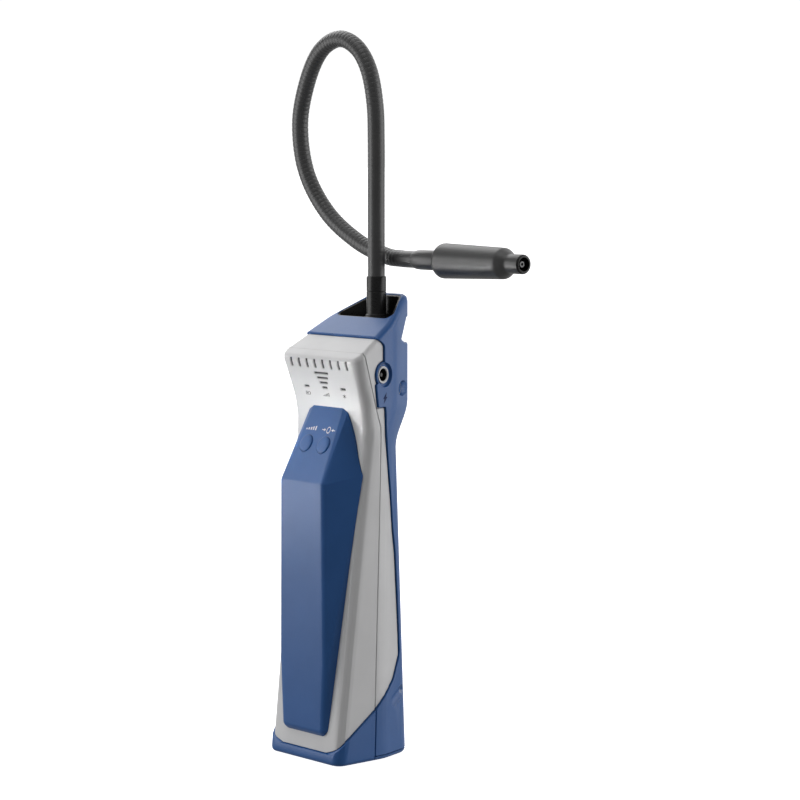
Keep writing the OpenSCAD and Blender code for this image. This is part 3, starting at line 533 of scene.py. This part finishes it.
def makeNeck(n):
    line = [Vector((n["base"][0], n["base"][1], n["low"]))] + routePoints(n)
    long = atEach(line, [0])[1]
    ribs = int(long / n["pitch"])
    pitch = long / ribs
    places = [(i + part) * pitch for i in range(ribs) for part, _ in n["marks"]] + [long]
    full = [share for i in range(ribs) for _, share in n["marks"]] + [0]
    points = atEach(line, places)[0]
    clearAll()
    curve = bpy.data.curves.new("gooseneckSheath", "CURVE")
    curve.dimensions = "3D"
    curve.bevel_depth = n["d"] / 2 * mm
    curve.bevel_resolution = n["sides"] // 4 - 2
    curve.use_fill_caps = True
    spline = curve.splines.new("POLY")
    spline.points.add(len(points) - 1)
    for k, (p, share) in enumerate(zip(points, full)):
        spline.points[k].co = (*(p * mm), 1)
        spline.points[k].radius = 1 - (1 - share) * grooveShare(n, p) * n["groove"] / (n["d"] / 2)
    piece = bpy.data.objects.new("gooseneckSheath", curve)
    bpy.context.scene.collection.objects.link(piece)
    takeUp(piece)
    bpy.ops.object.convert(target="MESH")
    piece = named("gooseneckSheath")
    pick(piece, "FACE", lambda face: True)
    bpy.ops.mesh.remove_doubles(threshold=n["merge"] * mm)
    bpy.ops.mesh.normals_make_consistent(inside=False)
    leave()
    return smooth(piece, n["smooth"])


sheath = dress(makeNeck(neck), finishes["neck_sheath"], "case", ["gooseneck"])
print("gooseneck", len(sheath.data.polygons), "faces")


# printed signs: flat shapes on a face, laid on its surface with a little thickness
printing = {"lift": 0.03, "share": 0.8}   # mm above the surface, and how much of that is ink


def flatBar(x, up, wide, high, turn=0):
    clearAll()
    bpy.ops.mesh.primitive_plane_add(size=1, location=(x * mm, up * mm, 0),
                                     rotation=(0, 0, math.radians(turn)))
    bpy.context.object.scale = (wide * mm, high * mm, 1)
    return settle(bpy.context.object)


def flatDisc(x, up, radius, sides, turn=0):
    clearAll()
    bpy.ops.mesh.primitive_circle_add(vertices=sides, radius=radius * mm, fill_type="NGON",
                                      location=(x * mm, up * mm, 0), rotation=(0, 0, math.radians(turn)))
    return settle(bpy.context.object)


def flatRing(x, up, radius, line, sides, tall=1.0):
    piece = flatDisc(0, 0, radius, sides)
    pick(piece, "FACE", lambda face: True)
    bpy.ops.mesh.inset(thickness=line * mm)
    bpy.ops.mesh.delete(type="FACE")
    leave()
    piece.scale.y = tall
    piece.location = (x * mm, up * mm, 0)
    return settle(piece)


def flatFrame(x, up, wide, high, line):
    piece = flatBar(x, up, wide, high)
    pick(piece, "FACE", lambda face: True)
    bpy.ops.mesh.inset(thickness=line * mm)
    bpy.ops.mesh.delete(type="FACE")
    leave()
    return piece


def flatShape(corners):
    piece = flatDisc(0, 0, 1, len(corners))
    for spot, (x, up) in zip(piece.data.vertices, corners):
        spot.co = (x * mm, up * mm, 0)
    return piece


def risingBars(b, up):
    bars = []
    for i in range(b["count"]):
        middle = up - b["low"] + b["rise"] * i
        bars.append(flatBar(b["x"] + b["step"] * i, middle, b["wide"], b["high"] + b["grow"] * i))
    return bars


def laidOn(parts, name, face, target, finish):
    sign = joined(parts, name)
    out, up = Vector(face["out"]), Vector(face["up"])
    turn = Matrix((up.cross(out), up, out)).transposed().to_4x4()
    sign.matrix_world = Matrix.Translation(Vector(face["place"]) * mm) @ turn
    settle(sign)
    lift = printing["lift"]
    useModifier(sign, "SHRINKWRAP", target=target, wrap_method="NEAREST_SURFACEPOINT",
                wrap_mode="ABOVE_SURFACE", offset=lift * mm)
    pick(sign, "FACE", lambda part: True)
    bpy.ops.mesh.normals_make_consistent(inside=False)
    leave()
    useModifier(sign, "SOLIDIFY", thickness=lift * printing["share"] * mm, offset=-1)
    return dress(sign, finish)


lightFace = {"place": (0, -10.3, 180), "up": (0, -0.3173, 0.9483), "out": (0, -0.9483, -0.3173)}
gripFace = {"place": (0, -21.767, 165), "up": (0, 0.4371, 0.8994), "out": (0, -0.8994, 0.4371)}
sideFace = {"place": (29.26, 1.466, 201.5), "up": (0, 0, 1), "out": (0.970348, 0.241714, 0)}

# signs under the status windows: battery, rising bars and flake
panelUp = 10.9
battery = {"x": -15.2, "wide": 3.6, "high": 1.9, "line": 0.28, "nubX": -13.2, "nub": (0.4, 0.8),
           "cellX": (-16.1, -15.1), "cell": (0.7, 0.9)}
batterySign = [flatFrame(battery["x"], panelUp, battery["wide"], battery["high"], battery["line"]),
               flatBar(battery["nubX"], panelUp, *battery["nub"])]
batterySign += [flatBar(x, panelUp, *battery["cell"]) for x in battery["cellX"]]
laidOn(batterySign, "batterySign", lightFace, made["frontCase"], darkPrint)
level = {"count": 5, "x": -2.2, "step": 1.1, "low": 0.7, "rise": 0.18,
         "wide": 0.55, "high": 0.6, "grow": 0.36}
laidOn(risingBars(level, panelUp), "levelSign", lightFace, made["frontCase"], darkPrint)
flake = {"x": 15, "arm": (2.6, 0.26), "turns": (90, 30, -30), "ring": 0.62, "line": 0.2, "sides": 24}
flakeSign = [flatBar(flake["x"], panelUp, *flake["arm"], turn) for turn in flake["turns"]]
flakeSign.append(flatRing(flake["x"], panelUp, flake["ring"], flake["line"], flake["sides"]))
laidOn(flakeSign, "flakeSign", lightFace, made["frontCase"], darkPrint)

# signs over the buttons: rising bars, and a nought between two arrows
signUp = 8.3
bars = {"count": 5, "x": -10.7, "step": 1.8, "low": 0.5, "rise": 0.2,
        "wide": 0.9, "high": 0.8, "grow": 0.4}
laidOn(risingBars(bars, signUp), "barsSign", gripFace, made["gripPad"], whitePrint)
nought = {"x": 7.1, "ring": 1.5, "line": 0.38, "sides": 32, "tall": 1.25,
          "headAt": 3.2, "head": 0.95, "tailAt": 4.5, "tail": (1.6, 0.42)}
noughtSign = [flatRing(nought["x"], signUp, nought["ring"], nought["line"], nought["sides"], nought["tall"])]
for side in (1, -1):
    noughtSign.append(flatDisc(nought["x"] - nought["headAt"] * side, signUp, nought["head"], 3, 90 * -side))
for side in (1, -1):
    noughtSign.append(flatBar(nought["x"] - nought["tailAt"] * side, signUp, *nought["tail"]))
laidOn(noughtSign, "noughtSign", gripFace, made["gripPad"], whitePrint)

# sign under the jack: a bolt of two leaning strokes
bolt = {"up": -11.9, "stroke": [(1.2, 2.9), (-1.9, -0.45), (0.6, -0.45)]}
boltSign = [flatShape([(side * x, bolt["up"] + side * up) for x, up in bolt["stroke"]]) for side in (1, -1)]
laidOn(boltSign, "boltSign", sideFace, made["backSkin"], bluePrint)
print("signs laid")


# floor and light
studio = {
    "floor": 80.0, "drop": 0.0002, "white": 0.82, "glow": 0.95, "aim": (0, 0, 0.2),
    "open": (0.763, -0.647, 0), "aside": (0.647, 0.763, 0), "tilt": -0.45, "backdrop": 1.05,
    "sky": [(0.0, 1.05), (0.11, 1.05), (0.2, 0.42), (0.5, 0.35), (0.8, 0.24), (1.0, 0.18)],
}


def makeFloor(s):
    clearAll()
    bpy.ops.mesh.primitive_plane_add(size=s["floor"], location=(0, 0, -s["drop"]))
    floor = named("paleFloor")
    finish, tree, shader = newFinish("palePaper", Roughness=0.9, Emission_Color=(1, 1, 1, 1),
                                     Emission_Strength=s["glow"])
    tintBetween(tree, shader, noiseOn(tree, 40, 2), grey(s["white"] - 0.01), grey(s["white"]))
    floor.data.materials.append(finish)
    floor.visible_diffuse = False   # no glare from below
    floor.visible_glossy = False


def softLight(name, b):
    clearAll()
    bpy.ops.object.light_add(type="AREA", location=b["place"])
    lamp = named(name)
    lamp.data.shape = "RECTANGLE"
    lamp.data.size, lamp.data.size_y = b["size"]
    lamp.data.energy = b["power"]
    lamp.data.spread = math.radians(b.get("spread", 180))
    facing = Vector(b.get("aim", studio["aim"])) - Vector(b["place"])
    lamp.rotation_euler = facing.to_track_quat("-Z", "Y").to_euler()


def makeWorld(s):
    world = bpy.data.worlds.new("studioWorld")
    bpy.context.scene.world = world
    world.use_nodes = True
    tree = world.node_tree
    where = tree.nodes.new("ShaderNodeTexCoord")
    along = tree.nodes.new("ShaderNodeVectorMath")
    along.operation = "DOT_PRODUCT"
    towards = (Vector(s["open"]) + Vector((0, 0, s["tilt"]))).normalized()
    along.inputs[1].default_value = towards
    half = tree.nodes.new("ShaderNodeMath")
    half.operation = "MULTIPLY_ADD"
    half.inputs[1].default_value = 0.5
    half.inputs[2].default_value = 0.5
    tree.links.new(where.outputs["Generated"], along.inputs[0])
    tree.links.new(along.outputs["Value"], half.inputs[0])
    ramp = tree.nodes.new("ShaderNodeValToRGB")
    stops = ramp.color_ramp.elements
    while len(stops) < len(s["sky"]):
        stops.new(0.5)
    for stop, (place, strength) in zip(stops, s["sky"]):
        stop.position = place
        stop.color = (strength, strength, strength, 1)
    tree.links.new(half.outputs["Value"], ramp.inputs["Fac"])
    seen = tree.nodes.new("ShaderNodeLightPath")
    shown = tree.nodes.new("ShaderNodeMix")   # the backdrop itself stays white from every side
    shown.inputs["B"].default_value = s["backdrop"]
    tree.links.new(seen.outputs["Is Camera Ray"], shown.inputs["Factor"])
    tree.links.new(ramp.outputs["Color"], shown.inputs["A"])
    tree.links.new(shown.outputs["Result"], tree.nodes["Background"].inputs["Strength"])
    tree.nodes["Background"].inputs["Color"].default_value = (1, 1, 1, 1)


aside = Vector(studio["aside"])
boxes = {
    "leftBox": {"place": aside * -0.5 + Vector((0, 0, 0.22)), "size": (0.42, 0.44), "power": 1.35},
    "lowBox": {"place": (-0.35, -0.3, 0.01), "aim": (0, -0.01, 0.177), "size": (0.1, 0.06),
               "power": 0.0105, "spread": 13},   # a narrow beam on the light panel
    "rightBox": {"place": aside * 1.1 + Vector((0, 0, 0.36)), "size": (1.1, 1.2), "power": 7.4},
    "topBox": {"place": (0.0, -0.4, 1.7), "size": (1.0, 1.0), "power": 3.4},
    "backBox": {"place": (-1.22, 0.32, 1.2), "size": (1.2, 1.2), "power": 6.4},
}
makeFloor(studio)
for name, values in boxes.items():
    softLight(name, values)
makeWorld(studio)
print("studio ready")
